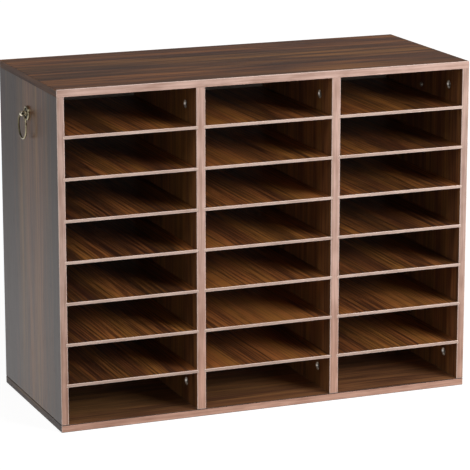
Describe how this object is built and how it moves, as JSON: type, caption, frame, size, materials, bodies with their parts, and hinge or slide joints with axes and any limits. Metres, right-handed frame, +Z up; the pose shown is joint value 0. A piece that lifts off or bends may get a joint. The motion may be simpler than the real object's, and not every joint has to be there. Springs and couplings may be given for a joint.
{
  "type": "pigeonhole mail sorter",
  "caption": "Open-front desktop case of walnut-look boards with partitions and thin slide-out shelves that form slots for flat mail, and a brass ring pull on each side.",
  "frame": {"origin": "middle of the base, on the surface that the case stands on", "axes": "+X to the right along the width, +Y from the open front to the back, +Z up"},
  "size_m": [0.735, 0.3, 0.551],
  "materials": {
    "walnut_board": "satin walnut-look laminate with a paler edge band",
    "walnut_shelf": "satin walnut-look laminate with a paler edge band",
    "hardboard": "matt hardboard",
    "beech": "plain turned beech",
    "zinc": "die-cast zinc, satin",
    "antique_brass": "antique brass with dark recesses",
    "steel": "zinc-plated steel"
  },
  "bodies": {
    "case": {"top_panel": "walnut_board", "bottom_panel": "walnut_board", "left_side_panel": "walnut_board", "right_side_panel": "walnut_board", "partition_1": "walnut_board", "partition_2": "walnut_board", "back_panel": "hardboard", "left_side_top_front_cam": "zinc", "left_side_top_rear_cam": "zinc", "left_side_bottom_front_cam": "zinc", "left_side_bottom_rear_cam": "zinc", "right_side_top_front_cam": "zinc", "right_side_top_rear_cam": "zinc", "right_side_bottom_front_cam": "zinc", "right_side_bottom_rear_cam": "zinc", "partition_1_top_front_cam": "zinc", "partition_1_top_rear_cam": "zinc", "partition_1_bottom_front_cam": "zinc", "partition_1_bottom_rear_cam": "zinc", "partition_2_top_front_cam": "zinc", "partition_2_top_rear_cam": "zinc", "partition_2_bottom_front_cam": "zinc", "partition_2_bottom_rear_cam": "zinc", "left_side_top_dowel": "beech", "left_side_bottom_dowel": "beech", "right_side_top_dowel": "beech", "right_side_bottom_dowel": "beech", "partition_1_top_dowel": "beech", "partition_1_bottom_dowel": "beech", "partition_2_top_dowel": "beech", "partition_2_bottom_dowel": "beech", "left_handle_rosette": "antique_brass", "left_handle_post": "antique_brass", "left_handle_screw": "steel", "right_handle_rosette": "antique_brass", "right_handle_post": "antique_brass", "right_handle_screw": "steel"},
    "column_1_shelf_1": {"column_1_shelf_1": "walnut_shelf"},
    "column_1_shelf_2": {"column_1_shelf_2": "walnut_shelf"},
    "column_1_shelf_3": {"column_1_shelf_3": "walnut_shelf"},
    "column_1_shelf_4": {"column_1_shelf_4": "walnut_shelf"},
    "column_1_shelf_5": {"column_1_shelf_5": "walnut_shelf"},
    "column_1_shelf_6": {"column_1_shelf_6": "walnut_shelf"},
    "column_1_shelf_7": {"column_1_shelf_7": "walnut_shelf"},
    "column_2_shelf_1": {"column_2_shelf_1": "walnut_shelf"},
    "column_2_shelf_2": {"column_2_shelf_2": "walnut_shelf"},
    "column_2_shelf_3": {"column_2_shelf_3": "walnut_shelf"},
    "column_2_shelf_4": {"column_2_shelf_4": "walnut_shelf"},
    "column_2_shelf_5": {"column_2_shelf_5": "walnut_shelf"},
    "column_2_shelf_6": {"column_2_shelf_6": "walnut_shelf"},
    "column_2_shelf_7": {"column_2_shelf_7": "walnut_shelf"},
    "column_3_shelf_1": {"column_3_shelf_1": "walnut_shelf"},
    "column_3_shelf_2": {"column_3_shelf_2": "walnut_shelf"},
    "column_3_shelf_3": {"column_3_shelf_3": "walnut_shelf"},
    "column_3_shelf_4": {"column_3_shelf_4": "walnut_shelf"},
    "column_3_shelf_5": {"column_3_shelf_5": "walnut_shelf"},
    "column_3_shelf_6": {"column_3_shelf_6": "walnut_shelf"},
    "column_3_shelf_7": {"column_3_shelf_7": "walnut_shelf"},
    "left_ring": {"left_handle_ring": "antique_brass"},
    "right_ring": {"right_handle_ring": "antique_brass"}
  },
  "joints": [
    {"name": "column_1_shelf_1_slide", "type": "slide", "parent": "case", "child": "column_1_shelf_1", "axis": [0, -1, 0], "range_m": [0, 0.2657]},
    {"name": "column_1_shelf_2_slide", "type": "slide", "parent": "case", "child": "column_1_shelf_2", "axis": [0, -1, 0], "range_m": [0, 0.2657]},
    {"name": "column_1_shelf_3_slide", "type": "slide", "parent": "case", "child": "column_1_shelf_3", "axis": [0, -1, 0], "range_m": [0, 0.2657]},
    {"name": "column_1_shelf_4_slide", "type": "slide", "parent": "case", "child": "column_1_shelf_4", "axis": [0, -1, 0], "range_m": [0, 0.2657]},
    {"name": "column_1_shelf_5_slide", "type": "slide", "parent": "case", "child": "column_1_shelf_5", "axis": [0, -1, 0], "range_m": [0, 0.2657]},
    {"name": "column_1_shelf_6_slide", "type": "slide", "parent": "case", "child": "column_1_shelf_6", "axis": [0, -1, 0], "range_m": [0, 0.2657]},
    {"name": "column_1_shelf_7_slide", "type": "slide", "parent": "case", "child": "column_1_shelf_7", "axis": [0, -1, 0], "range_m": [0, 0.2657]},
    {"name": "column_2_shelf_1_slide", "type": "slide", "parent": "case", "child": "column_2_shelf_1", "axis": [0, -1, 0], "range_m": [0, 0.2657]},
    {"name": "column_2_shelf_2_slide", "type": "slide", "parent": "case", "child": "column_2_shelf_2", "axis": [0, -1, 0], "range_m": [0, 0.2657]},
    {"name": "column_2_shelf_3_slide", "type": "slide", "parent": "case", "child": "column_2_shelf_3", "axis": [0, -1, 0], "range_m": [0, 0.2657]},
    {"name": "column_2_shelf_4_slide", "type": "slide", "parent": "case", "child": "column_2_shelf_4", "axis": [0, -1, 0], "range_m": [0, 0.2657]},
    {"name": "column_2_shelf_5_slide", "type": "slide", "parent": "case", "child": "column_2_shelf_5", "axis": [0, -1, 0], "range_m": [0, 0.2657]},
    {"name": "column_2_shelf_6_slide", "type": "slide", "parent": "case", "child": "column_2_shelf_6", "axis": [0, -1, 0], "range_m": [0, 0.2657]},
    {"name": "column_2_shelf_7_slide", "type": "slide", "parent": "case", "child": "column_2_shelf_7", "axis": [0, -1, 0], "range_m": [0, 0.2657]},
    {"name": "column_3_shelf_1_slide", "type": "slide", "parent": "case", "child": "column_3_shelf_1", "axis": [0, -1, 0], "range_m": [0, 0.2657]},
    {"name": "column_3_shelf_2_slide", "type": "slide", "parent": "case", "child": "column_3_shelf_2", "axis": [0, -1, 0], "range_m": [0, 0.2657]},
    {"name": "column_3_shelf_3_slide", "type": "slide", "parent": "case", "child": "column_3_shelf_3", "axis": [0, -1, 0], "range_m": [0, 0.2657]},
    {"name": "column_3_shelf_4_slide", "type": "slide", "parent": "case", "child": "column_3_shelf_4", "axis": [0, -1, 0], "range_m": [0, 0.2657]},
    {"name": "column_3_shelf_5_slide", "type": "slide", "parent": "case", "child": "column_3_shelf_5", "axis": [0, -1, 0], "range_m": [0, 0.2657]},
    {"name": "column_3_shelf_6_slide", "type": "slide", "parent": "case", "child": "column_3_shelf_6", "axis": [0, -1, 0], "range_m": [0, 0.2657]},
    {"name": "column_3_shelf_7_slide", "type": "slide", "parent": "case", "child": "column_3_shelf_7", "axis": [0, -1, 0], "range_m": [0, 0.2657]},
    {"name": "left_ring_swing", "type": "hinge", "parent": "case", "child": "left_ring", "pos_m": [-0.363, 0, 0.4885], "axis": [0, 1, 0], "range_deg": [-9, 168]},
    {"name": "right_ring_swing", "type": "hinge", "parent": "case", "child": "right_ring", "pos_m": [0.363, 0, 0.4885], "axis": [0, -1, 0], "range_deg": [-9, 168]}
  ]
}
